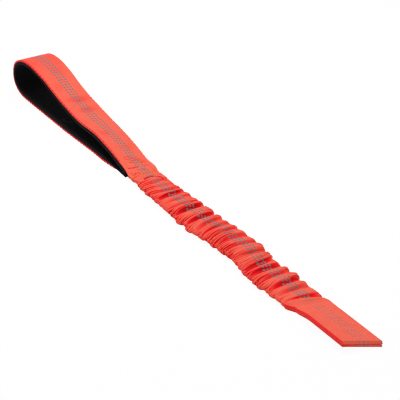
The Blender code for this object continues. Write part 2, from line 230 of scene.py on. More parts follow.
class Finish:
    """A material. node() adds a node of a type: its settings come first, then its sockets' values."""

    def __init__(self, name, **looks):
        self.material = bpy.data.materials.new(name)
        self.material.use_nodes = True
        self.tree = self.material.node_tree
        self.shader = self.tree.nodes["Principled BSDF"]
        self.looks(**looks)

    def feed(self, socket, value):
        if isinstance(value, Socket):
            self.tree.links.new(value.output, socket)
        elif value is not None:
            socket.default_value = value

    def node(self, kind, settings, *values, output=0):
        made = self.tree.nodes.new(kind)
        for setting, value in settings.items():
            setattr(made, setting, value)
        for socket, value in zip(made.inputs, values):
            self.feed(socket, value)
        return Socket(self, made.outputs[output])

    def attribute(self, name, output):
        return self.node("ShaderNodeAttribute", {"attribute_name": name}, output=output)

    def parts(self, vector):
        """The three parts of a vector."""
        return (self.node("ShaderNodeSeparateXYZ", {}, vector, output=k) for k in range(3))

    def own_place(self):
        return self.node("ShaderNodeTexCoord", {}, output=OBJECT_OUTPUT)

    def mix(self, share, first, second):
        """A colour part of the way from the first to the second."""
        made = self.tree.nodes.new("ShaderNodeMix")
        made.data_type = "RGBA"
        for place, value in (("Factor_Float", share), ("A_Color", first), ("B_Color", second)):
            self.feed(next(socket for socket in made.inputs if socket.identifier == place), value)
        return Socket(self, next(socket for socket in made.outputs if socket.identifier == "Result_Color"))

    def speckle(self, scale, detail=2.0):
        """Noise on the object's own coordinates, about 0.5 on average."""
        return self.node("ShaderNodeTexNoise", {}, self.own_place(), None, scale, detail)

    def looks(self, **values):
        for place, value in values.items():
            self.feed(self.shader.inputs[place.replace("_", " ")], value)

    def bump(self, height, strength, distance):
        made = self.tree.nodes.new("ShaderNodeBump")
        made.inputs["Strength"].default_value = strength
        made.inputs["Distance"].default_value = distance
        self.feed(made.inputs["Height"], height)
        self.looks(Normal=Socket(self, made.outputs[0]))


# The pale coral is painted highlight. The deep red and the fold red are painted shade for rib hollows,
# creases, folds, stitch rows, puckers and dents.
CORAL, SOFT_CORAL, HIGHLIGHT_CORAL = (0.90, 0.136, 0.078, 1), (0.93, 0.205, 0.142, 1), (0.99, 0.38, 0.30, 1)
WARM_RED, SHADE_RED, FOLD_SHADE_RED = (0.88, 0.070, 0.046, 1), (0.88, 0.003, 0.010, 1), (0.60, 0.001, 0.004, 1)
DOT_GREY = (0.18, 0.19, 0.185, 1)
DOT_MIDDLE, DOT_ROWS, DOT_ROW_PITCH, DOT_PITCH = 0.0010, 3, 0.0026, 0.00355
DOT_HALF_LENGTH, DOT_HALF_WIDTH = 0.0010, 0.0008
DOT_SQUARENESS, DOT_EDGE, DOT_SHARPNESS, DOTS_CLEAR = 3.0, 1.3, 2.5, 0.95
WEFT_PITCH, WARP_PITCH, RIB_HEIGHT, RIB_SHADE = 0.0007, 0.0011, 0.00012, 0.07
RIB_STRENGTH, DOT_RISE = 0.5, 0.5
MOTTLE_SCALE, MOTTLE_DETAIL, MOTTLE_CONTRAST = 260.0, 4.0, 0.9
FLECK_SCALE, FLECK_CONTRAST, SPECKLE_FLOOR = 1100.0, 0.7, 0.2
FOLD_SHADE_FROM = 0.6


def coral_webbing():
    """Coral nylon webbing: weft ribs sin(along) cos(across a warp column), set off by half a rib from one
    column to the next, and three rows of reflective dots. A dot is where (along / half length)^3 + (across
    / half width)^3 is small. Painted highlight makes it paler where the depth is below 0, and painted shade
    makes it redder as it nears 1."""
    cloth = Finish("coral_webbing", Roughness=0.7, Specular_IOR_Level=0.14)
    across, along, depth = cloth.parts(cloth.attribute("weave", VECTOR_OUTPUT))
    from_middle = across - DOT_MIDDLE
    rows = (from_middle / DOT_ROW_PITCH + DOT_ROWS / 2).maths("FRACT") - 0.5
    dots = (along / DOT_PITCH).maths("FRACT") - 0.5
    lengthwise = (dots.maths("ABSOLUTE") * DOT_PITCH / DOT_HALF_LENGTH).maths("POWER", DOT_SQUARENESS)
    crosswise = (rows.maths("ABSOLUTE") * DOT_ROW_PITCH / DOT_HALF_WIDTH).maths("POWER", DOT_SQUARENESS)
    in_rows = from_middle.maths("ABSOLUTE") < DOT_ROWS / 2 * DOT_ROW_PITCH
    within = (DOT_EDGE - (lengthwise + crosswise)) * DOT_SHARPNESS
    dotted = within.maths("MULTIPLY", in_rows, use_clamp=True) * cloth.attribute("dots", VALUE_OUTPUT)
    column = across / WARP_PITCH
    rib = (along / WEFT_PITCH + column.maths("FLOOR") * 0.5) * math.tau
    ribs = rib.maths("SINE") * ((column.maths("FRACT") - 0.5) * math.pi).maths("COSINE")
    mottle, flecks = cloth.speckle(MOTTLE_SCALE, MOTTLE_DETAIL), cloth.speckle(FLECK_SCALE)
    tone = cloth.mix(mottle * MOTTLE_CONTRAST - SPECKLE_FLOOR, CORAL, SOFT_CORAL)
    tone = cloth.mix(flecks * FLECK_CONTRAST - SPECKLE_FLOOR, tone, WARM_RED)
    tone = cloth.mix((ribs + 1.0) * RIB_SHADE, tone, SHADE_RED)
    # Painted highlight where the depth is below 0, and painted shade as it rises to 1, darkest red in the
    # folds
    tone = cloth.mix((depth * -1.0).clamped(), tone, HIGHLIGHT_CORAL)
    tone = cloth.mix((depth / FOLD_SHADE_FROM).clamped(), tone, SHADE_RED)
    tone = cloth.mix(((depth - FOLD_SHADE_FROM) / (1 - FOLD_SHADE_FROM)).clamped(), tone, FOLD_SHADE_RED)
    cloth.looks(Base_Color=cloth.mix(dotted, tone, DOT_GREY))
    cloth.bump(ribs + dotted * DOT_RISE, RIB_STRENGTH, RIB_HEIGHT)
    return cloth.material


WEBBING = coral_webbing()

# Shallow dents in the upper leg: place along, place across, depth, reach along, reach across
DENTS = (
    (-0.109, 0.0025, 0.0014, 0.0040, 0.0075), (-0.093, 0.0025, 0.0012, 0.0038, 0.0065),
    (-0.128, -0.006, 0.0004, 0.006, 0.004), (-0.052, -0.004, 0.0006, 0.006, 0.004),
    (-0.030, 0.005, 0.0005, 0.005, 0.004), (-0.150, 0.003, 0.0004, 0.008, 0.005),
)
BOX_FRONT, BOX_REAR, BOX_HALF_WIDTH, BOX_MARGIN = -0.0102, 0.009, 0.0088, 0.0006
TACK_PLACE, TACK_DEPTH, TACK_REACH = 0.0112, 0.00035, 0.0012
GROOVE_DEPTH, GROOVE_REACH, GROOVE_LIMIT = 0.00022, 0.0005, 0.0003
PUCKER_DEPTH, PUCKER_REACH = 0.00060, 0.00050
# Puckers that the sewing draws before the box and in it: place along, lean, place across, reach across
PUCKERS = (
    (-0.0137, 0.43, 0.0003, 0.0086), (-0.0110, 0.415, -0.0003, 0.0082), (-0.0071, 0.365, -0.0022, 0.0032),
    (-0.0161, 0.45, 0.0012, 0.0070), (-0.0088, 0.40, 0.0050, 0.0030), (-0.0020, -0.20, -0.0030, 0.0030),
    (-0.0040, 0.35, 0.0060, 0.0030), (-0.0005, 0.10, -0.0070, 0.0030), (0.0035, 0.25, 0.0010, 0.0045),
    (0.0062, -0.15, -0.0060, 0.0030),
)
LUMP_DEPTH, LUMPS_FROM, LUMPS_FADE = 0.00007, -0.014, 0.004
# Uneven waves: length over tau, swing, and length over tau of the swing
LUMPS_ALONG, LUMPS_ACROSS, RIPPLE_WAVE = (0.00052, 2.2, 0.0017), (0.00061, 1.7, 0.0021), (0.0031, 1.3, 0.019)


def dents(x, y):
    """The sum of the dents: depth * exp(-((x - place) / reach)^2 - ((y - place) / reach)^2) for each."""
    rows = np.array(DENTS)[:, :, None, None]
    return sum(d * np.exp(-((x - a) / u) ** 2 - ((y - b) / v) ** 2) for a, b, d, u, v in rows)


def uneven(place, wave, other=None):
    """A wave of uneven length: sin(place / length + swing * sin(other / swing's length)). Without another
    place, the place itself swings it."""
    length, swing, swing_length = wave
    return np.sin(place / length + swing * np.sin((place if other is None else other) / swing_length))


def quilting(x, y):
    """How deep the upper leg is drawn down at the junction: along the sewn box and its cross, under the bar
    tack, in the puckers before the box and in it, and in small lumps all over it. A groove
    exp(-(d / reach)^2) follows each line."""
    inside = (x > BOX_FRONT) & (x < BOX_REAR)
    within = np.abs(y) < BOX_HALF_WIDTH + BOX_MARGIN
    slope = BOX_HALF_WIDTH / ((BOX_REAR - BOX_FRONT) / 2)
    middle = (BOX_FRONT + BOX_REAR) / 2
    from_cross = np.abs(np.abs(y) - np.abs(x - middle) * slope) / math.hypot(1, slope)
    lines = (
        (np.abs(np.abs(y) - BOX_HALF_WIDTH), inside), (np.abs(x - BOX_FRONT), within),
        (np.abs(x - BOX_REAR), within), (from_cross, inside),
    )
    groove = sum(GROOVE_DEPTH * np.exp(-(away / GROOVE_REACH) ** 2) * where for away, where in lines)
    tack = TACK_DEPTH * np.exp(-(((x - TACK_PLACE) / TACK_REACH) ** 2))
    puckers = sum(
        PUCKER_DEPTH * np.exp(-(((x - place - lean * y) / PUCKER_REACH) ** 2))
        * np.exp(-(((y - middle_y) / reach) ** 4))
        for place, lean, middle_y, reach in PUCKERS
    )
    lumps = LUMP_DEPTH * (1 + uneven(x, LUMPS_ALONG, y) * uneven(y, LUMPS_ACROSS, x))
    sewn_over = np.clip((x - LUMPS_FROM) / LUMPS_FADE, 0, 1)
    return np.minimum(groove, GROOVE_LIMIT) + tack + puckers + lumps * sewn_over


# Beside the elastic, just in front of the gathers, the strap's edges are drawn together: where that begins
# and ends along and across, how far the upper leg falls and how far the lower one is lifted
DRAWN_ALONG, DRAWN_ACROSS = (0.0012, 0.0062), (0.0080, 0.0112)
EDGE_FALL, EDGE_LIFT = 0.00125, 0.00155


def drawn_in(x, y):
    """How far the strap's edges are drawn together, 0 to 1: an eased ramp along times one across."""
    return eased(x, DRAWN_ALONG, (0, 1)) * eased(np.abs(y), DRAWN_ACROSS, (0, 1))


# How far each leg lies towards the far edge: place along, upper leg, lower leg, lining on the lower leg
SWAY = (
    (-0.200, -0.0010, -0.0010, -0.0010), (-0.185, -0.0006, -0.0012, -0.0012),
    (-0.160, 0.0000, -0.0014, -0.0014), (-0.140, 0.0009, -0.0015, -0.0015),
    (-0.100, 0.0007, -0.0016, -0.0016), (-0.075, 0.0007, -0.0010, -0.0010),
    (-0.055, 0.0012, -0.0004, -0.0004), (-0.035, 0.0011, -0.0006, -0.0002),
    (-0.020, 0.0006, -0.0003, 0.0000), (-0.010, 0.0000, 0.0012, 0.0005),
    (0.000, -0.0005, 0.0017, 0.0003), (0.0045, -0.0008, 0.0003, -0.0008),
    (0.0085, -0.0010, -0.0010, -0.0010), (0.0125, -0.0015, -0.0015, -0.0015),
    (0.020, -0.0015, -0.0015, -0.0015),
)
UPPER_SWAY, LOWER_SWAY, LINING_SWAY = 1, 2, 3
SMOOTHING = np.linspace(-0.0015, 0.0015, 5)


def between(x, table, column):
    """A column of a table at x: straight runs from row to row. It is averaged over 0.003 of the table's
    unit, so that a table in metres has no corners."""
    places, values = np.array(table)[:, (0, column)].T
    return sum(np.interp(x + shift, places, values) for shift in SMOOTHING) / len(SMOOTHING)


def strap_section():
    """Places across and shares of the thickness around the strap's section, from the far edge over the
    outer face to the near edge and back along the inner face. The edges are half circles flattened to the
    thickness."""
    edge = HALF - SELVEDGE_ROUND * (1 - np.cos(SELVEDGE_TURNS))
    rise = (1 - np.sin(SELVEDGE_TURNS)) / 2
    flat = HALF - SELVEDGE_INSET
    over, back = np.linspace(flat, -flat, OUTER_POINTS), np.linspace(-flat, flat, INNER_POINTS)
    share = np.concatenate([rise, np.zeros(OUTER_POINTS), rise[::-1], np.ones(INNER_POINTS)])
    return np.concatenate([edge, over, -edge[::-1], back]), share


# The lining's stitches: where their rows end along the strap, and how they sink into it
ROWS_END = -0.0115
ROW_REACH, ROW_DEPTH, STITCH_DEPTH = 0.0005, 0.0001, 0.0002
EDGE_RIPPLE = 0.00016
RELIEF_LOST = 0.6
# The sewing draws the strap narrower: places along, and shares of the narrowing
NARROWING = 0.10
NARROW_PLACES = (-0.035, -0.010, -0.002, 0.004, 0.0085, 0.0132)
NARROW_SHARES = (0, 1, 0.95, 0.78, 1.15, 1.35)
# Painted shade in stitch rows, in puckers from a least depth, in dents for each metre, and over the crest
ROW_SHADE, PUCKER_SHADE, DENT_SHADE, CREST_SHADE = 0.35, 0.8, 260, 0.16
PUCKER_LEAST, PUCKER_RANGE = 0.0002, 0.0005
CREST_PLACE, CREST_REACH = -0.172, 0.020

points, across, outward, run = loop_line()
y, share = strap_section()
upper = outward[:, 2] > 0
strap_x, strap_y = np.meshgrid(points[:, 0], y, indexing="ij")
quilted, dented = quilting(strap_x, strap_y), dents(strap_x, strap_y) * upper[:, None]
stitched = np.exp(-(((strap_y + STITCH_LINE) / ROW_REACH) ** 2)) * (points[:, :1] < ROWS_END)
sunk = stitched * np.sin(np.pi * run[:, None] / STITCH) ** 2
relief = dented + quilted * upper[:, None] + (stitched * ROW_DEPTH + sunk * STITCH_DEPTH)
ripple = EDGE_RIPPLE * uneven(run[:, None], RIPPLE_WAVE) * np.clip(np.abs(strap_y) / HALF, 0, 1) ** 4
depth = share * WEB + (relief + ripple) * (1 - share * RELIEF_LOST)
narrow = 1 - NARROWING * eased(points[:, :1], NARROW_PLACES, NARROW_SHARES)
sideways = (strap_y * narrow)[..., None] * across[:, None]
rings = points[:, None] + sideways - depth[..., None] * outward[:, None]
leg_sway = np.where(upper, between(points[:, 0], SWAY, UPPER_SWAY), between(points[:, 0], SWAY, LOWER_SWAY))
rings[..., 1] += leg_sway[:, None]
rings[..., 2] += drawn_in(strap_x, strap_y) * np.where(upper, -EDGE_FALL, EDGE_LIFT)[:, None]
# Painted shade where the stitch rows, puckers and dents sink, and over the loop's crest, carried as the third
# weave value
pucker_shade = np.clip((quilted - PUCKER_LEAST) / PUCKER_RANGE, 0, 1) * upper[:, None]
painted_shading = stitched * ROW_SHADE + sunk * ROW_SHADE + pucker_shade * PUCKER_SHADE + dented * DENT_SHADE
painted_shading = np.clip(painted_shading + CREST_SHADE * np.exp(-(((strap_x - CREST_PLACE) / CREST_REACH) ** 2)), 0, 1)
weave = np.stack([strap_y, np.broadcast_to(run[:, None], strap_y.shape), painted_shading], axis=-1)
strap = surface("handle_strap", rings, weave, DOTS_CLEAR)
strap.data.materials.append(WEBBING)
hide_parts("handle_webbing")
HINGE_HEIGHT = 0.003
HINGE_START, HINGE_END = (0.0085, 0, HINGE_HEIGHT), (0.0205, 0, HINGE_HEIGHT)
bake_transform(strap)


# Lining: a strip of 2.5 mm black neoprene inside the loop, as wide as the strap. Its two ends are pressed
# thin between the legs at the junction, where their cut edges show as a rounded black end.
LINING = 0.0025
LINING_REACH = 0.0018
LINING_GAP = CLEAR * 0.3
LINING_EDGE, LINING_FLAT, LINING_ROUND = 0.0127, 0.0113, 0.0009
LINING_TURNS = np.radians((-85, -60, -30, 0, 30, 60, 85))
LINING_OUTER_POINTS, LINING_INNER_POINTS = 21, 31
# Near the junction the plies' near edges spread: where that begins and is full, along and across, and how
# far they go
PLY_START, PLY_END = -0.020, -0.004
PLY_EDGE, PLY_FADE = 0.0095, 0.003
PLY_SPREAD, PLY_DROP, PLY_RISE = 0.0002, 0.0008, 0.0008
CUT_RUN, CUT_SHARE = 0.0016, 0.5
# Slight waves in the foam: depth, length over tau along and across, and how slowly they lean
WRINKLE, WRINKLE_ALONG, WRINKLE_ACROSS, WRINKLE_LEAN = 0.00018, 0.017, 0.0052, 0.031
# A thin pale crease where the foam was bent: an arc about a centre, low down on the loop's near side
BEND_X, BEND_Y, BEND_RADIUS = -0.1095, -0.0050, 0.0048
BEND_LINE, BEND_TOP, BEND_SIDE = 0.0005, 0.008, BEND_Y + 0.001
FOAM_BLACK, FOAM_CUT = (0.0044, 0.0034, 0.0048, 1), (0.0085, 0.0068, 0.0088, 1)
BEND_TONE, BEND_SHARE = (0.036, 0.031, 0.036, 1), 0.9
CUT_EDGE, KNIT_PITCH, KNIT_HEIGHT, KNIT_STRENGTH, BEND_RISE = 0.0006, 0.0006, 0.00006, 0.3, 3.0


def neoprene():
    """Black knitted face on closed foam: nearly black, slightly brighter at the cut edges, with a thin pale
    crease where the distance from its centre is its radius. The knit is sin(along) sin(across)."""
    foam = Finish("black_neoprene", Roughness=0.9, Specular_IOR_Level=0.12)
    across, along, _ = foam.parts(foam.attribute("weave", VECTOR_OUTPUT))
    edge = across.maths("ABSOLUTE") > HALF - CUT_EDGE
    x, y, z = foam.parts(foam.own_place())
    from_bend = ((x - BEND_X).maths("POWER", 2.0) + (y - BEND_Y).maths("POWER", 2.0)).maths("SQRT")
    on_arc = (from_bend - BEND_RADIUS).maths("ABSOLUTE") < BEND_LINE
    crease = on_arc * (z < BEND_TOP) * (y < BEND_SIDE)
    tone = foam.mix(edge, FOAM_BLACK, FOAM_CUT)
    foam.looks(Base_Color=foam.mix(crease * BEND_SHARE, tone, BEND_TONE))
    knit = (along / KNIT_PITCH * math.tau).maths("SINE") * (across / KNIT_PITCH * math.tau).maths("SINE")
    foam.bump(knit + crease * BEND_RISE, KNIT_STRENGTH, KNIT_HEIGHT)
    return foam.material


NEOPRENE = neoprene()

lined = points[:, 0] < LINING_REACH
low_side = points[:, 2] - np.abs(across[:, 2]) * HALF
order = np.argsort(points[upper, 0])
room = np.interp(points[:, 0], points[upper, 0][order], low_side[upper][order])[lined]
lining_points, lining_across, lining_outward = points[lined], across[lined], outward[lined]
lining_x, lining_run = lining_points[:, 0], run[lined]
thick = np.minimum(LINING, (room - 2 * WEB - 2 * CLEAR) / 2)[:, None]
rim = LINING_EDGE - LINING_ROUND * (1 - np.cos(LINING_TURNS))
rise = (1 - np.sin(LINING_TURNS)) / 2
over = np.linspace(LINING_FLAT, -LINING_FLAT, LINING_OUTER_POINTS)
back = np.linspace(-LINING_FLAT, LINING_FLAT, LINING_INNER_POINTS)
y = np.concatenate([rim, over, -rim[::-1], back])
share = np.concatenate([rise, np.zeros_like(over), rise[::-1], np.ones_like(back)])
at_edge = np.clip((-y - PLY_EDGE) / PLY_FADE, 0, 1)
near_end = eased(lining_x, (PLY_START, PLY_END), (0, 1))[:, None] * at_edge
leaning = np.sin(y / WRINKLE_ACROSS + lining_run[:, None] / WRINKLE_LEAN)
wave = np.sin(lining_run / WRINKLE_ALONG)[:, None] * leaning
depth = WEB + LINING_GAP + share * thick * (1 + WRINKLE / LINING * wave)
depth -= near_end * (1 - share) * np.where(lining_outward[:, 2:] > 0, PLY_RISE, PLY_DROP)
end = eased(lining_x, (LINING_REACH - CUT_RUN, LINING_REACH), (0, 1))[:, None]
middle = WEB + thick / 2
depth = middle + (depth - middle) * (1 - CUT_SHARE * end**2)
side = np.where(y > 0, y * narrow[lined], y - PLY_SPREAD * near_end)
sideways = side[..., None] * lining_across[:, None]
rings = lining_points[:, None] + sideways - depth[..., None] * lining_outward[:, None]
rings[..., 1] += np.where(upper, leg_sway, between(points[:, 0], SWAY, LINING_SWAY))[lined][:, None]
weave = np.stack([*np.broadcast_arrays(y, lining_run[:, None]), np.zeros_like(side)], axis=-1)
lining = surface("neoprene_lining", rings, weave)
lining.data.materials.append(NEOPRENE)
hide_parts("handle_lining")
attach(lining, "handle")
lining_length = float(lining_run[-1] - lining_run[0])


# Loop and junction stitches: two rows of bonded thread, red and coral, sew the lining to the strap, a stitch
# every 4.4 mm. At the junction a box of orange thread with a cross in it holds both legs, and a bar tack
# closes them beside the bungee.
LOOP_RADIUS, BOX_RADIUS, TACK_RADIUS = 0.00028, 0.00025, 0.0002
LOOP_SHARES, BOX_SHARES = (0.14, 0.86), (0.08, 0.92)
BOX_STITCH = 0.0028
THREAD_SUNK = 0.0002
THREAD_SIDES, TWIST_SCALE = 6, 700.0
TACK_HALF_WIDTH, TACK_THROW, TACK_ZIGZAGS = 0.0105, 0.0008, 15
UP = np.array((0, 0, 1.0))
# A stitch's rings: share of its length, thickness and lift as shares of its radius
RING_SHARES = (
    (0.0, 0.3, -0.9), (0.1, 0.8, -0.35), (0.3, 1.0, 0.15),
    (0.7, 1.0, 0.15), (0.9, 0.8, -0.35), (1.0, 0.3, -0.9),
)


def stitches(name, starts, ends, up, thread, radius):
    """One short thread from each start to each end: rings of points whose radius and rise make a low arch."""
    along = ends - starts
    side = np.cross(up, along)
    side /= np.linalg.norm(side, axis=1, keepdims=True)
    rise = np.cross(along, side)
    rise /= np.linalg.norm(rise, axis=1, keepdims=True)
    share, thick, lift = np.array(RING_SHARES).T
    centre = starts[:, None] + share[:, None] * along[:, None] + (lift * radius)[:, None] * rise[:, None]
    turn = np.arange(THREAD_SIDES) * math.tau / THREAD_SIDES
    round_it = np.cos(turn)[:, None] * side[:, None] + np.sin(turn)[:, None] * rise[:, None]
    rings = centre[:, :, None] + (thick * radius)[:, None, None] * round_it[:, None]
    item = surface(name, rings)
    item.data.materials.append(thread)
    return item


def sewing_thread(name, tone, light):
    """Bonded thread with a slightly lighter twist."""
    twisted = Finish(name, Roughness=0.6, Specular_IOR_Level=0.3)
    twisted.looks(Base_Color=twisted.mix(twisted.speckle(TWIST_SCALE), tone, light))
    return twisted.material


RED_THREAD = sewing_thread("red_thread", (0.82, 0.003, 0.008, 1), (0.88, 0.02, 0.015, 1))
CORAL_THREAD = sewing_thread("coral_thread", (0.90, 0.12, 0.06, 1), (0.92, 0.18, 0.10, 1))
ORANGE_THREAD = sewing_thread("orange_thread", (0.93, 0.17, 0.035, 1), (0.96, 0.30, 0.06, 1))


def on_strap(x, y):
    """Points on the upper leg's outer face, from its line and its sideways slope at x, less its quilting."""
    places = points[upper, 0][order]
    slope = (across[:, 2] / across[:, 1])[upper][order]
    z = np.interp(x, places, points[upper, 2][order]) + y * np.interp(x, places, slope)
    z = z - quilting(x, y) - EDGE_FALL * drawn_in(x, y)
    return np.stack([x, y + between(x, SWAY, UPPER_SWAY), z], axis=-1)


def sewn(name, corners):
    """Stitches along straight runs between corners on the junction."""
    starts, ends = [], []
    for first, last in zip(corners[:-1], corners[1:]):
        first, last = np.array(first), np.array(last)
        count = max(round(np.linalg.norm(last - first) / BOX_STITCH), 1)
        for share, held in zip(BOX_SHARES, (starts, ends)):
            x, y = (first + (last - first) * (np.arange(count) + share)[:, None] / count).T
            held.append(on_strap(x, y))
    return stitches(name, np.vstack(starts), np.vstack(ends), UP, ORANGE_THREAD, BOX_RADIUS)


stations = np.arange(STITCH / 2, run[-1], STITCH)
swayed = points + leg_sway[:, None] * (0, 1, 0)
for name, line, thread in (
    ("lining_stitches_near", -STITCH_LINE, RED_THREAD), ("lining_stitches_far", STITCH_LINE, CORAL_THREAD),
):
    ends_of = []
    for share in LOOP_SHARES:
        at = stations + (share - 0.5) * STITCH
        place, level, out, drawn = (
            np.column_stack([np.interp(at, run, column) for column in field.T])
            for field in (swayed, across, outward, narrow)
        )
        ends_of.append(place + line * drawn * level - THREAD_SUNK * out)
    starts, ends = ends_of
    keep = (starts[:, 0] < ROWS_END) & (ends[:, 0] < ROWS_END)
    row = stitches(name, starts[keep], ends[keep], out[keep], thread, LOOP_RADIUS)
    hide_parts(name.replace("stitches", "stitch"))
    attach(row, "handle")

front, rear, width = BOX_FRONT, BOX_REAR, BOX_HALF_WIDTH
box = sewn("junction_box_stitch_rows", (
    (front, -width), (rear, -width), (rear, width), (front, width),
    (front, -width), (rear, width), (rear, -width), (front, width),
))
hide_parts("junction_box_stitch")
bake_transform(box)
zig = np.linspace(-TACK_HALF_WIDTH, TACK_HALF_WIDTH, 2 * TACK_ZIGZAGS + 1)
tack_points = on_strap(TACK_PLACE + TACK_THROW * np.where(np.arange(len(zig)) % 2, 1, -1), zig)
tack = stitches("junction_tack_rows", tack_points[:-1], tack_points[1:], UP, ORANGE_THREAD, TACK_RADIUS)
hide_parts("junction_bar_tack")
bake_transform(tack)


# Elastic: a 16 mm flat elastic that lies inside the gathered casing. Its ends are sewn down in the junction
# and under the rear tack, and the band between them stretches.
ELASTIC_REST, ELASTIC_TOP, ELASTIC_HALF = 0.0019, 0.0041, 0.008
BAND_END, REAR_TAB_START = 0.2102, 0.2105
TAB_RINGS, FRONT_RINGS, BAND_RINGS = 12, 40, 140
ELASTIC_RIB, ELASTIC_CONTRAST, ELASTIC_MIDDLE = 0.001, 0.2, 0.3
ELASTIC_WHITE, ELASTIC_SHADE = (0.75, 0.73, 0.68, 1), (0.5, 0.48, 0.45, 1)
CASING_LENGTH = 0.217
CASING_END = JUNCTION_REAR + CASING_LENGTH
TAIL_START = CASING_END + CLEAR
TAIL_LENGTH = 0.0572
TAIL_END = TAIL_START + TAIL_LENGTH
TAIL_ROLL, ROLL_START, ROLL_END = math.radians(8), 0.2255, 0.2500
# How the gathered stretch lies: place along, drift towards the near edge, half width on the far side, and
# height of the puffs' crown
LIE = (
    (0.0120, 0.0015, 0.0108, 0.0057), (0.0160, 0.0013, 0.0110, 0.0061), (0.0200, 0.0011, 0.0112, 0.0065),
    (0.0260, 0.0011, 0.0111, 0.0064), (0.0330, 0.0010, 0.0112, 0.0064), (0.0420, 0.0014, 0.0118, 0.0063),
    (0.0540, 0.0016, 0.0127, 0.0076), (0.0660, 0.0020, 0.0128, 0.0067), (0.0740, 0.0018, 0.0130, 0.0087),
    (0.0820, 0.0026, 0.0135, 0.0083), (0.0930, 0.0014, 0.0134, 0.0076), (0.1010, 0.0027, 0.0139, 0.0084),
    (0.1110, 0.0017, 0.0135, 0.0089), (0.1200, 0.0005, 0.0134, 0.0094), (0.1320, 0.0000, 0.0133, 0.0088),
    (0.1410, -0.0003, 0.0138, 0.0083), (0.1500, -0.0012, 0.0119, 0.0096), (0.1590, -0.0012, 0.0112, 0.0070),
    (0.1660, 0.0003, 0.0125, 0.0063), (0.1715, 0.0003, 0.0134, 0.0073), (0.1780, 0.0018, 0.0141, 0.0085),
    (0.1840, 0.0015, 0.0128, 0.0081), (0.1920, 0.0021, 0.0144, 0.0081), (0.2010, 0.0010, 0.0132, 0.0083),
    (0.2070, 0.0016, 0.0134, 0.0085), (0.2130, 0.0013, 0.0128, 0.0069), (0.2190, 0.0014, 0.0134, 0.0068),
    (0.2240, 0.0011, 0.0141, 0.0066), (0.2275, 0.0004, 0.0134, 0.0052), (0.2312, -0.0003, 0.0128, 0.0030),
    (0.2420, 0.0000, 0.0125, 0.0030),
)
DRIFT, FAR_HALF, CROWN = 1, 2, 3


def laid(points):
    """Points of the bungee and the tail where they lie: the tail is turned on its far edge, so that its
    near edge is up, and the gathered stretch wanders a little from side to side."""
    x, y, z = np.moveaxis(points, -1, 0)
    roll = TAIL_ROLL * eased(x, (ROLL_START, ROLL_END), (0, 1))
    reach = HALF - y
    rolled = HALF - reach * np.cos(roll) + z * np.sin(roll)
    return np.stack([x, rolled - between(x, LIE, DRIFT), reach * np.sin(roll) + z * np.cos(roll)], axis=-1)


def knitted_elastic():
    """Off-white elastic with fine ribs across it: sin(x)."""
    band = Finish("white_elastic", Roughness=0.7)
    x, _, _ = band.parts(band.own_place())
    ribs = (x / ELASTIC_RIB * math.tau).maths("SINE")
    band.looks(Base_Color=band.mix(ribs * ELASTIC_CONTRAST + ELASTIC_MIDDLE, ELASTIC_WHITE, ELASTIC_SHADE))
    return band.material


ELASTIC = knitted_elastic()


def flat_elastic(name, node, start, end, stations, moves):
    """A flat strip of elastic from start to end along the strap: a rectangle at each station, laid as the
    cloth lies."""
    x = np.linspace(start, end, stations)
    corners = [
        (-ELASTIC_HALF, ELASTIC_REST), (ELASTIC_HALF, ELASTIC_REST),
        (ELASTIC_HALF, ELASTIC_TOP), (-ELASTIC_HALF, ELASTIC_TOP),
    ]
    along = np.broadcast_to(x[:, None, None], (stations, len(corners), 1))
    section = np.broadcast_to(corners, (stations, len(corners), 2))
    strip = surface(name, laid(np.concatenate([along, section], axis=2)))
    strip.data.materials.append(ELASTIC)
    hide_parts(node)
    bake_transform(strip)


STRETCH_START, STRETCH_END = (0.0434, 0, HINGE_HEIGHT), (0.2128, 0, HINGE_HEIGHT)
FRONT_FOLD = ("handle", "bungee", HINGE_START, HINGE_END)
STRETCHING = ("bungee", "bungee_end", STRETCH_START, STRETCH_END)
REAR_FOLD = ("bungee_end", "tail", (0.2225, 0, HINGE_HEIGHT), (0.2345, 0, HINGE_HEIGHT))
front_tab, rear_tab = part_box("elastic_front_tab"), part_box("elastic_rear_tab")
for strip in (
    ("elastic_front_end", "elastic_front_tab", front_tab[0][0], JUNCTION_REAR, TAB_RINGS, FRONT_FOLD),
    ("elastic_strip_front", "elastic_band", JUNCTION_REAR + CLEAR, STRETCH_START[0], FRONT_RINGS, FRONT_FOLD),
    ("elastic_strip", "elastic_band", STRETCH_START[0], BAND_END, BAND_RINGS, STRETCHING),
    ("elastic_rear_end", "elastic_rear_tab", REAR_TAB_START, rear_tab[1][0], TAB_RINGS, REAR_FOLD),
):
    flat_elastic(*strip)


# Gathered casing and tail: the strap's two legs run on past the junction, one over the elastic and one
# under it, sewn together along both edges and gathered by the elastic. Behind the rear tack they lie flat
# as the tail, cut askew.
GATHERED_LENGTH = 0.322
CASING_STATION, TAIL_STATIONS, EVEN_TO, TAIL_FROM = 0.00022, 64, CASING_END + 0.004, CASING_END + 0.0045
CLOTH_OUTER_POINTS, CLOTH_INNER_POINTS, CROWDING = 61, 11, 1.35
INSIDE_REACH, INSIDE_FULLNESS, MIDDLE_SPAN = 0.93, 1.2, 4
GATHERS_END, END_RUN, END_LEAN, OPENING_RUN = CASING_END - 0.0026, 0.0045, 0.0025, 0.004
SEAM_HEIGHT, TAIL_SEAM_HEIGHT = 0.003, 0.00145
TAIL_SLANT, SLANT_RUN = 0.0061, 0.012
TAIL_SWELL, SWELL_REACH, LOWER_SWELL_SHARE = 0.0009, 0.97, 0.25
TUCK, CURL = 0.0009, 0.0010
LEAST_CLOTH = 0.0006
SPLITS = (STRAP_JOIN, STRETCH_START[0], STRETCH_END[0], TAIL_END)

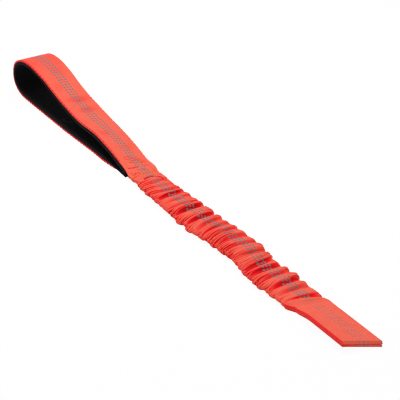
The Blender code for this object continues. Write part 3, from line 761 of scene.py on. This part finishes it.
# How far the near hem reaches from the middle line: place along and reach, in millimetres
NEAR_HEM = (
    (12, 12.2), (20, 12.4), (24, 13.3), (28, 14.5), (33, 13.65), (40, 15.0), (45, 13.85), (51, 14.5),
    (57, 14.6), (63, 14.5), (69, 15.35), (75, 14.95), (81, 15.95), (87, 16.7), (93, 14.6), (99, 16.6),
    (105, 16.6), (111, 14.9), (117, 14.25), (123, 13.2), (129, 13.6), (135, 12.7), (140, 13.3), (144, 11.5),
    (148, 12.8), (153, 11.4), (159, 12.95), (164, 13.7), (168, 13.2), (172, 14.9), (176, 16.4), (180, 15.1),
    (184, 15.7), (189, 16.4), (195, 16.4), (201, 14.7), (207, 15.5), (212, 15.1), (219, 14.5), (224, 14.4),
    (228, 12.2), (231, 11.2), (234, 11.9), (238, 12.2), (243, 12.5), (248, 12.8),
)
PER_METRE = 1000

# Large folds: shares of the casing's length at the near edge and at the far edge, share of the full drop
FOLD_SHARES = (
    (0.016, 0.024, 0.25), (0.069, 0.055, 0.5), (0.101, 0.100, 0.4), (0.138, 0.140, 0.6), (0.186, 0.163, 1.0),
    (0.226, 0.217, 0.35), (0.267, 0.265, 0.5), (0.312, 0.294, 1.0), (0.386, 0.364, 1.0), (0.447, 0.413, 0.6),
    (0.484, 0.463, 0.5), (0.516, 0.502, 0.5), (0.558, 0.555, 0.6), (0.599, 0.615, 0.6), (0.659, 0.668, 0.5),
    (0.750, 0.709, 1.0), (0.779, 0.772, 0.95), (0.834, 0.816, 0.6), (0.889, 0.870, 0.8), (0.926, 0.917, 0.5),
    (0.972, 0.982, 0.8),
)
BEFORE_SHARES, AFTER_SHARES = (-0.1, 0), (1.1, 1.6)
FOLD_DROP, FOLD_DRAW_IN, FOLD_LIMIT = 0.0038, 0.0024, 1.05
FOLD_WALL, FOLD_RISE, HEM_FOLD, FOLD_POWER = 0.0014, 0.0036, 0.0032, 1.8
# Painted shade on each fold's fall: its lead and reach
SHADE_LEAD, SHADE_REACH = 0.0005, 0.0018
DROP_POWER, SHADE_POWER = 1.25, 1.6
# Painted shade in the folds fades towards the hems, with a lens 1 - ((v - middle) / reach)^2 to a power
LENS_MIDDLE, LENS_REACH, LENS_POWER = 0.02, 0.94, 0.6

# Fine creases: the least and the greatest gap between them, their number, seed and start. Then the share of
# deep ones at the near hem, the depths there and at the far hem, and how far they reach across.
CREASE_GAPS, CREASE_COUNT, CREASE_SEED, CREASE_LEAD = (0.0016, 0.0032), 150, 11, 0.01
DEEP_SHARE, DEEP_RANGE, SHALLOW_RANGE = 0.60, (0.0008, 0.0012), (0.00035, 0.0006)
FAR_RANGE, NEAR_REACHES, FAR_REACHES = (0.0003, 0.0008), (0.8, 1.9), (0.5, 1.4)
# Their wander and their strength: how far, length over tau along, lean across and start of each wave
CREASE_WANDER = ((0.00045, 0.0067, 1.9, 0.5), (0.0003, 0.0109, -2.3, 2.0))
STRENGTH_WAVES, STRENGTH_MIDDLE, STRENGTH_LIMITS = ((0.4, 0.0083, 2.4, 0),), 0.95, (0.5, 1.15)
CREASE_POWER, CALM_SHARE, CALM_PLACES = 1.3, 0.55, (0.196, 0.214)
# How they begin at each hem and fade over the crown, in half widths
NEAR_LEAD, NEAR_RAMP, NEAR_FADE, FAR_RAMP, FAR_FADE = 0.05, 0.10, 0.55, 0.08, 0.5

random = np.random.default_rng(CREASE_SEED)
crease_places = JUNCTION_REAR - CREASE_LEAD + np.cumsum(random.uniform(*CREASE_GAPS, CREASE_COUNT))
is_deep = random.random(CREASE_COUNT) < DEEP_SHARE
deep_ones, shallow_ones = (random.uniform(*bounds, CREASE_COUNT) for bounds in (DEEP_RANGE, SHALLOW_RANGE))
near_depth = np.where(is_deep, deep_ones, shallow_ones)
near_reach = random.uniform(*NEAR_REACHES, CREASE_COUNT)
far_depth = random.uniform(*FAR_RANGE, CREASE_COUNT)
far_reach = random.uniform(*FAR_REACHES, CREASE_COUNT)


def near_place(x, v):
    """The place at the near edge from which the cloth's folds run to the place x at v across. Each fold is
    a straight line from its near share to its far share, and the cloth between two folds is shared out
    evenly."""
    near, far, _ = np.array(FOLD_SHARES).T
    near, far = (np.concatenate([BEFORE_SHARES, side, AFTER_SHARES]) for side in (near, far))
    columns = [
        np.interp(x[:, k], JUNCTION_REAR + ((near + far) / 2 + (far - near) / 2 * v[0, k]) * CASING_LENGTH,
                  JUNCTION_REAR + near * CASING_LENGTH)
        for k in range(x.shape[1])
    ]
    return np.column_stack(columns)


def folds(start, v):
    """How far the cloth is down in the large folds, how far its edge is drawn in there, and how much painted
    shade it gets. A fold falls steeply on its junction side and rises gently on its tail side, both exp(-|d /
    w|^1.8), and its painted shade is strongest on the fall, exp(-(d / w)^4)."""
    drop, pull, fold_shade = np.zeros((3, *start.shape))
    lens = np.clip(1 - ((v - LENS_MIDDLE) / LENS_REACH) ** 2, 0, 1) ** LENS_POWER
    for near, far, share in FOLD_SHARES:
        away = start - JUNCTION_REAR - near * CASING_LENGTH
        width = np.where(away < 0, FOLD_WALL, FOLD_RISE)
        drop += share**DROP_POWER * np.exp(-np.abs(away / width) ** FOLD_POWER)
        pull += share * np.exp(-np.abs(away / HEM_FOLD) ** FOLD_POWER)
        fold_shade = np.maximum(fold_shade, share**SHADE_POWER * np.exp(-((away + SHADE_LEAD) / SHADE_REACH) ** 4))
    return np.minimum(drop, FOLD_LIMIT), np.minimum(pull, 1), fold_shade * lens


def waves(start, v, table):
    """The sum of swing * sin(start / length + lean * v + shift) over a table's rows."""
    return sum(swing * np.sin(start / length + lean * v + shift) for swing, length, lean, shift in table)


def creases(start, v):
    """How deep the fine creases are, in metres: a groove (0.5 + 0.5 cos)^1.3 about each crease's wandering
    line, that starts at one hem and fades out over the crown."""
    phase = np.interp(start + waves(start, v, CREASE_WANDER), crease_places, np.arange(CREASE_COUNT))
    number = np.clip(np.floor(phase + 0.5).astype(int), 0, CREASE_COUNT - 1)
    strength = np.clip(STRENGTH_MIDDLE + waves(start, v, STRENGTH_WAVES), *STRENGTH_LIMITS)
    line = (0.5 + 0.5 * np.cos(math.tau * (phase - number))) ** CREASE_POWER * strength
    near, far = 1 + v, 1 - v
    near_fade = np.clip((near_reach[number] - near) / NEAR_FADE, 0, 1)
    from_near = near_depth[number] * np.clip((near + NEAR_LEAD) / NEAR_RAMP, 0, 1) * near_fade
    far_fade = np.clip((far_reach[number] - far) / FAR_FADE, 0, 1)
    from_far = far_depth[number] * np.clip(far / FAR_RAMP, 0, 1) * far_fade
    return line * np.maximum(from_near, from_far) * (1 - CALM_SHARE * eased(start, CALM_PLACES, (0, 1)))


# Shape of the puffs over each side: width, power and rounding
NEAR_DOME, FAR_DOME = (0.90, 2.1, 0.72), (0.96, 4.5, 0.42)


def fullness(v):
    """The dome's share of its height at v across: (1 - |v / s|^p)^q, rounder on the near side."""
    s, p, q = (np.where(v < 0, near, far) for near, far in zip(NEAR_DOME, FAR_DOME))
    return np.clip(1 - np.abs(v / s) ** p, 0, 1) ** q


def opened(x):
    """How far the casing has opened behind the junction, 0 to 1."""
    return eased(x, (STRAP_JOIN, STRAP_JOIN + OPENING_RUN), (0, 1))


def puffed(x, v):
    """How far the cloth is puffed up rather than flat as on the tail, 1 to 0, along a slanting end."""
    return eased(x - END_LEAN * v, (GATHERS_END - END_RUN, GATHERS_END), (1, 0))


# The first fold is like a hood over the junction: its place and middle, how it bends back on each side and
# at most, the reach across and width of its line of painted shade, where creases begin behind it, and its
# drop's depth, lead and width
HOOD_PLACE, HOOD_MIDDLE, HOOD_BENDS, HOOD_LIMIT = 0.0170, 0.1, (0.0045, 0.030), 0.36
HOOD_REACH, HOOD_LINE, HOOD_FADE = 0.62, 0.0007, 0.0012
HOOD_DROP, HOOD_LEAD, HOOD_WIDTH = 0.0009, 0.0006, 0.0010
# Hems: where they begin across, the scallops, the ruffles with their gusts, and their sway up and down
HEM_SHARES = (0.82, 0.92)
SCALLOP_WAVE, SCALLOP_REACH, SCALLOP_POWER, SCALLOP_MIDDLE = (0.0021, 0.8, 0.0117), 0.0014, 0.6, 0.75
RUFFLE_WAVE, RUFFLE_REACH, RUFFLE_FALL = (0.00088, 1.6, 0.0037), 0.0003, 0.0004
RUFFLE_GUSTS, RUFFLE_MIDDLE, HEM_SWAY = ((0.4, 0.0061, 0, 1.0),), 0.6, ((0.0005, 0.0021, 0, 0.6),)
# A notch in the far hem where the gathers end: depth, place behind that end and reach
NOTCH_DEPTH, NOTCH_PLACE, NOTCH_REACH = 0.0019, 0.0009, 0.0018
# Underneath: where the lower layer's face ends across, and how far folds and creases go into it
LOWER_REACH, LOWER_POWER, LOWER_EDGE, LOWER_FOLD, LOWER_CREASE = 0.95, 5, 0.93, 0.0003, 1.15
# Painted shade and highlight: a crease's depth at full painted shade, the crown's share of painted highlight,
# the limits of both, and the shares of painted shade in folds, hems and patches. Below: the shares of
# painted shade in folds, creases and hems. Last: painted shade on the near selvedge, there and more so on the
# tail.
CREASE_FULL, CREASE_SHADE, CREASE_LIMIT = 0.00075, 1.6, 0.8
HIGHLIGHT_SHARE, HIGHLIGHT_FROM, HIGHLIGHT_LIMIT = 0.75, 1.3, -0.85
FOLD_SHADE, HEM_SHADE, SHADE_PATCH_MIDDLE, SHADE_PATCH_SCALLOP = 1.25, 0.5, 0.15, 0.5
LOWER_CREASE_FULL, LOWER_FOLD_SHADE, LOWER_CREASE_SHADE, LOWER_HEM_SHADE = 0.0008, 0.4, 0.6, 0.4
NEAR_SHADE, NEAR_TAIL_SHADE = 0.15, 0.35


def layer(x, v, is_upper):
    """The half width, the outer face's height, the hem's height, the dome's share, the painted shade and
    highlight, and the creases of the upper or the lower layer at x along and v across, before it is laid. The
    face is a dome between its hems, less its folds and creases."""
    start = near_place(x, v)
    drop, pull, fold_shade = folds(start, v)
    bend = np.where(v < HOOD_MIDDLE, *HOOD_BENDS)
    hood = x - HOOD_PLACE - bend * np.minimum((v - HOOD_MIDDLE) ** 2, HOOD_LIMIT)
    # A line of painted shade along the hood's fold
    hood_shade = np.exp(-((hood / HOOD_LINE) ** 2)) * (np.abs(v - HOOD_MIDDLE) < HOOD_REACH)
    fold_shade = np.maximum(fold_shade, hood_shade)
    crease = creases(start, v) * np.clip(hood / HOOD_FADE, 0, 1)
    full = puffed(x, v)
    loose = opened(x) * full
    hem = eased(np.abs(v), HEM_SHARES, (0, 1)) * loose
    ruffle = uneven(start, RUFFLE_WAVE) * (RUFFLE_MIDDLE + waves(start, v, RUFFLE_GUSTS))
    scallop = np.abs(uneven(start, SCALLOP_WAVE)) ** SCALLOP_POWER - SCALLOP_MIDDLE
    hem_reach = between(x * PER_METRE, NEAR_HEM, 1) / PER_METRE - between(x, LIE, DRIFT)
    near_half = hem_reach + SCALLOP_REACH * scallop * loose
    far_half = between(x, LIE, FAR_HALF) - FOLD_DRAW_IN * pull * loose
    half = np.where(v < 0, near_half, far_half) + RUFFLE_REACH * ruffle * hem
    half -= NOTCH_DEPTH * (v > 0) * np.exp(-(((x - GATHERS_END - NOTCH_PLACE) / NOTCH_REACH) ** 2))
    seam = TAIL_SEAM_HEIGHT + (SEAM_HEIGHT - TAIL_SEAM_HEIGHT) * full
    swell = TAIL_SWELL * (1 - full)
    dome = fullness(v)
    sway = waves(start, v, HEM_SWAY) * hem
    if is_upper:
        hood_drop = HOOD_DROP * np.exp(-(((hood - HOOD_LEAD) / HOOD_WIDTH) ** 2))
        crown = between(x, LIE, CROWN) - (FOLD_DROP * drop + hood_drop) * loose
        lip = seam + CLEAR / 2 + WEB
        z = lip + (crown - lip) * dome - RUFFLE_FALL * np.maximum(ruffle, 0) * hem
        z += swell * (np.abs(v) < SWELL_REACH)
        z += sway
        held = seam + CLEAR / 2 + sway
        # Painted shade in the hem's patches, folds and creases, and painted highlight on the crown and
        # between the creases
        hem_shade_patches = np.clip(SHADE_PATCH_MIDDLE + ruffle - SHADE_PATCH_SCALLOP * scallop, 0, 1)
        painted_highlight = HIGHLIGHT_SHARE * np.clip(HIGHLIGHT_FROM - np.abs(v), 0, 1)
        crease_shade = np.clip(crease / CREASE_FULL * CREASE_SHADE - painted_highlight, HIGHLIGHT_LIMIT, CREASE_LIMIT)
        painted_shading = np.clip(np.maximum(FOLD_SHADE * fold_shade, crease_shade), -1, 1) * loose + HEM_SHADE * hem_shade_patches * hem
    else:
        half = half - TUCK * (v < 0)
        lip = seam - CLEAR / 2 - WEB - LOWER_SWELL_SHARE * swell * np.clip(-v, 0, 1)
        edgeward = 1 - np.clip(1 - np.abs(v / LOWER_REACH) ** LOWER_POWER, 0, 1) ** 0.5
        hollow = (LOWER_FOLD * drop + LOWER_CREASE * crease) * loose * (np.abs(v) < LOWER_EDGE)
        z = lip * edgeward + hollow + sway
        held = seam - CLEAR / 2 + sway
        # Painted shade on the underside in folds, creases and hems
        crease_shade = crease / LOWER_CREASE_FULL * LOWER_CREASE_SHADE
        painted_shading = np.clip(LOWER_FOLD_SHADE * drop + crease_shade + LOWER_HEM_SHADE * hem, 0, 1) * loose
        crease = crease * 0
    return half, z, held, dome, painted_shading, crease * loose


SIDE_POINTS = len(SELVEDGE_TURNS)
FAR_SIDE, FACE = slice(0, SIDE_POINTS), slice(SIDE_POINTS, SIDE_POINTS + CLOTH_OUTER_POINTS)
NEAR_SIDE = slice(FACE.stop, FACE.stop + SIDE_POINTS)
INSIDE = slice(NEAR_SIDE.stop, None)


def cloth_rings(x, is_upper):
    """Rings around one layer: round the far selvedge, across the outer face, round the near selvedge and
    back inside. The upper layer's near selvedge curls down over the lower layer's, which is tucked in
    behind it. With the rings come the places on the flat cloth: the run along the middle, stretched to the
    gathered length."""
    flat = 1 - SELVEDGE_INSET / HALF
    over = np.sin(np.linspace(1, -1, CLOTH_OUTER_POINTS) * CROWDING) / math.sin(CROWDING) * flat
    back = np.linspace(-INSIDE_REACH, INSIDE_REACH, CLOTH_INNER_POINTS)
    v = np.concatenate([np.ones(SIDE_POINTS), over, -np.ones(SIDE_POINTS), back])
    x, v = np.meshgrid(x, v, indexing="ij")
    half, z, held, dome, painted_shading, crease = layer(x, v, is_upper)
    y = half * v
    away = np.arctan2(np.gradient(z, axis=1), -np.gradient(y, axis=1))
    y -= crease * np.sin(away)
    z -= crease * np.cos(away)
    sign = 1 if is_upper else -1
    edge = SELVEDGE_ROUND * (1 - np.cos(SELVEDGE_TURNS))
    rise = (1 + np.sin(SELVEDGE_TURNS)) / 2
    full = puffed(x, v)
    curl = CURL * opened(x) if is_upper else 0 * x
    thick = WEB + (TAIL_SWELL * (1 - full) if is_upper else 0 * x)
    y[:, FAR_SIDE] -= edge
    y[:, NEAR_SIDE] += edge[::-1] + (crease[:, NEAR_SIDE] if is_upper else 0)
    z[:, FAR_SIDE] = held[:, FAR_SIDE] + sign * rise * WEB
    near_rise = sign * rise[::-1] * (thick + curl)[:, NEAR_SIDE]
    z[:, NEAR_SIDE] = held[:, NEAR_SIDE] - curl[:, NEAR_SIDE] + near_rise
    top = ELASTIC_TOP + CLEAR if is_upper else ELASTIC_REST - CLEAR
    within = held + (top - held) * np.minimum(dome * INSIDE_FULLNESS, 1) * full
    if is_upper:
        z[:, FACE] = np.maximum(z, within + LEAST_CLOTH)[:, FACE]
    z[:, INSIDE] = within[:, INSIDE]
    rings = laid(np.stack([x, y, z], axis=-1))
    rings[..., 0] += TAIL_SLANT / 2 * v * eased(x, (TAIL_END - SLANT_RUN, TAIL_END), (0, 1))
    centre = SIDE_POINTS + CLOTH_OUTER_POINTS // 2
    middle = rings[:, centre - MIDDLE_SPAN:centre + MIDDLE_SPAN + 1].mean(axis=1)
    steps = np.linalg.norm(np.diff(middle[:, (0, 2)], axis=0), axis=1)
    along = np.concatenate([(0,), np.cumsum(steps)])
    gathered = np.interp(CASING_END, x[:, 0], along)
    stretched = along * GATHERED_LENGTH / gathered
    along = np.where(along < gathered, stretched, along - gathered + GATHERED_LENGTH)
    # Painted shade on the near selvedge, which faces down and away from the lamps, more so on the flat tail
    flatness = 1 - full[:, NEAR_SIDE]
    painted_shading[:, NEAR_SIDE] = np.maximum(painted_shading[:, NEAR_SIDE], NEAR_SHADE + NEAR_TAIL_SHADE * flatness)
    run_on = run[-1] + np.broadcast_to(along[:, None], x.shape)
    return rings, np.stack([v * HALF, run_on, painted_shading], axis=-1)


# Parts of each layer, with what moves each and how the cloth is held there
LAYER_PARTS = (
    ("front", FRONT_FOLD, "gathered"), ("gathers", STRETCHING, "gathered"), ("tail", REAR_FOLD, "laid"),
)
GATHERED_SHARE = GATHERED_LENGTH / CASING_LENGTH
SAME_PLACE = 1e-9
# The dots fade where the tail begins and come back in patches: places, shares and the patches' wave
FADE_PLACES, FADE_SHARE, BACK_PLACES, BACK_SHARE = (0.2265, 0.2300), 0.75, (0.2340, 0.2380), 0.28
PATCH_SHARE, PATCH_WAVE = 0.16, (0.0019, 1.7, 0.0053)

even_x = np.arange(SPLITS[0], EVEN_TO, CASING_STATION)
tail_x = np.linspace(TAIL_FROM, TAIL_END, TAIL_STATIONS)
cloth_x = np.concatenate([even_x, tail_x])
for split in SPLITS[1:-1]:
    cloth_x[np.argmin(np.abs(cloth_x - split))] = split
patchy = BACK_SHARE + PATCH_SHARE * uneven(cloth_x, PATCH_WAVE)
shown = DOTS_CLEAR - FADE_SHARE * eased(cloth_x, FADE_PLACES, (0, 1))
shown += eased(cloth_x, BACK_PLACES, (0, 1)) * patchy
for layer_name, is_upper in (("upper", True), ("lower", False)):
    rings, weave = cloth_rings(cloth_x, is_upper)
    if is_upper:
        upper_face, upper_across = rings[:, FACE], weave[0, FACE, 0]
    for (part, moves, held), low, high in zip(LAYER_PARTS, SPLITS[:-1], SPLITS[1:]):
        rows = (cloth_x >= low - SAME_PLACE) & (cloth_x <= high + SAME_PLACE)
        cloth = surface(f"{layer_name}_layer_{part}", rings[rows], weave[rows], shown[rows, None])
        cloth.data.materials.append(WEBBING)
        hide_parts(f"casing_{layer_name}", *((f"tail_{layer_name}",) if part == "tail" else ()))
        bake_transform(cloth)
        gathered = max(min(high, CASING_END) - low, 0)
        flat_length = gathered * GATHERED_SHARE + (high - low - gathered)


# Casing and tail stitches: a row of coral thread through both layers along each edge, and a bar tack of
# orange thread that holds the elastic's rear end.
SEAM_SHARE = 0.90
SEAM_STITCH, SEAM_STITCH_SHARE, SEAM_RADIUS = 0.0026, 0.72, 0.0002
SEAM_FRONT, SEAM_REAR, SEAM_LEAD = 0.003, 0.004, 0.0004
REAR_TACK_REACH, REAR_TACK_POINTS, REAR_TACK_LEAN = 0.55, 25, 0.0036
REAR_TACK_THROW, REAR_TACK_RADIUS = 0.0004, 0.00016
# Parts of the edge rows: what moves each, where it starts and ends, and the solids that it stands for
SEAM_PARTS = (
    ("front", FRONT_FOLD, SPLITS[0] + SEAM_FRONT, SPLITS[1], ()),
    ("gathers", STRETCHING, SPLITS[1], SPLITS[2], ("casing_seam_near", "casing_seam_far")),
    ("tail", REAR_FOLD, SPLITS[2], TAIL_END - SEAM_REAR, ("tail_seam_near", "tail_seam_far")),
)


def on_cloth(x, v):
    """Points on the upper layer at x along and v across: straight between the nearest columns and rows of
    its outer face."""
    column = np.interp(v, upper_across[::-1] / HALF, np.arange(CLOTH_OUTER_POINTS)[::-1]) + 0 * x
    low = np.clip(np.floor(column).astype(int), 0, CLOTH_OUTER_POINTS - 2)
    part = (column - low)[:, None]
    row = np.clip(np.searchsorted(cloth_x, x) - 1, 0, len(cloth_x) - 2)
    ahead = ((x - cloth_x[row]) / (cloth_x[row + 1] - cloth_x[row]))[:, None]
    first = upper_face[row, low] * (1 - part) + upper_face[row, low + 1] * part
    last = upper_face[row + 1, low] * (1 - part) + upper_face[row + 1, low + 1] * part
    return first * (1 - ahead) + last * ahead


for part, moves, low, high, hidden in SEAM_PARTS:
    places = np.arange(low + SEAM_LEAD, high - SEAM_STITCH, SEAM_STITCH)
    firsts, lasts = (
        np.vstack([on_cloth(places + share * SEAM_STITCH, side) for side in (-SEAM_SHARE, SEAM_SHARE)])
        for share in (0, SEAM_STITCH_SHARE)
    )
    row = stitches(f"edge_stitches_{part}", firsts, lasts, UP, CORAL_THREAD, SEAM_RADIUS)
    if hidden:
        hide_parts(*hidden)
    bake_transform(row)

zig = np.linspace(-REAR_TACK_REACH, REAR_TACK_REACH, REAR_TACK_POINTS)
throw = REAR_TACK_THROW * np.where(np.arange(REAR_TACK_POINTS) % 2, 1, -1)
tack_points = on_cloth(GATHERS_END + REAR_TACK_LEAN * zig + throw, zig)
rear_tack = stitches("rear_tack_rows", tack_points[:-1], tack_points[1:], UP, ORANGE_THREAD, REAR_TACK_RADIUS)
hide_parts("casing_bar_tack")
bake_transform(rear_tack)


# Floor and light: a white sweep that reads as pure white in the picture, a large soft lamp overhead and a
# weaker one on the near side.
FLOOR_REACH, FLOOR_DROP = 4.0, 0.0001
FLOOR_TONE = (0.9, 0.9, 0.9, 1)
SHADOW_SHARE = 0.05
WORLD_TONE = (0.44, 0.44, 0.44, 1)
LAMPS = (
    ("overhead", (-0.20, 0.08, 1.2), (0.05, 0, 0), 0.5, 9.8),
    ("near_side", (0.6, -1.1, 0.6), (0.05, 0, 0), 0.8, 2.5),
)
# Places of a colour mix's sockets: first colour, second colour and result
MIX_FIRST, MIX_SECOND, MIX_RESULT = 6, 7, 2

floor_mesh = bpy.data.meshes.new("floor")
floor_corners = np.array(((-1, -1), (1, -1), (1, 1), (-1, 1))) * FLOOR_REACH
floor_mesh.from_pydata([(x, y, -FLOOR_DROP) for x, y in floor_corners], [], [(0, 1, 2, 3)])
floor = bpy.data.objects.new("floor", floor_mesh)
scene.collection.objects.link(floor)
sweep = Finish("white_sweep", Base_Color=FLOOR_TONE, Roughness=0.9)
seen = sweep.node("ShaderNodeLightPath", {})
glow = sweep.tree.nodes.new("ShaderNodeEmission")
cover = sweep.tree.nodes.new("ShaderNodeMixShader")
out = sweep.tree.nodes["Material Output"]
sweep.feed(cover.inputs[0], seen * (1 - SHADOW_SHARE))
sweep.tree.links.new(sweep.shader.outputs[0], cover.inputs[1])
sweep.tree.links.new(glow.outputs[0], cover.inputs[2])
sweep.tree.links.new(cover.outputs[0], out.inputs[0])
floor_mesh.materials.append(sweep.material)

world = bpy.data.worlds.new("studio")
world.use_nodes = True
scene.world = world
tree = world.node_tree
light_path = tree.nodes.new("ShaderNodeLightPath")
white = tree.nodes.new("ShaderNodeMix")
white.data_type = "RGBA"
tree.links.new(light_path.outputs["Is Camera Ray"], white.inputs[0])
white.inputs[MIX_FIRST].default_value = WORLD_TONE
white.inputs[MIX_SECOND].default_value = (1, 1, 1, 1)
tree.links.new(white.outputs[MIX_RESULT], tree.nodes["Background"].inputs[0])

for name, place, aim, size, power in LAMPS:
    lamp_data = bpy.data.lights.new(name, "AREA")
    lamp_data.shape, lamp_data.size, lamp_data.energy = "DISK", size, power
    lamp = bpy.data.objects.new(name, lamp_data)
    lamp.location = place
    lamp.rotation_euler = (Vector(place) - Vector(aim)).to_track_quat("Z", "Y").to_euler()
    scene.collection.objects.link(lamp)

scene.view_settings.view_transform = "Standard"
scene.view_settings.look = "None"
scene.cycles.max_bounces = 8
scene.cycles.diffuse_bounces = 6
scene.cycles.use_denoising = True
scene.cycles.filter_width = 1.2
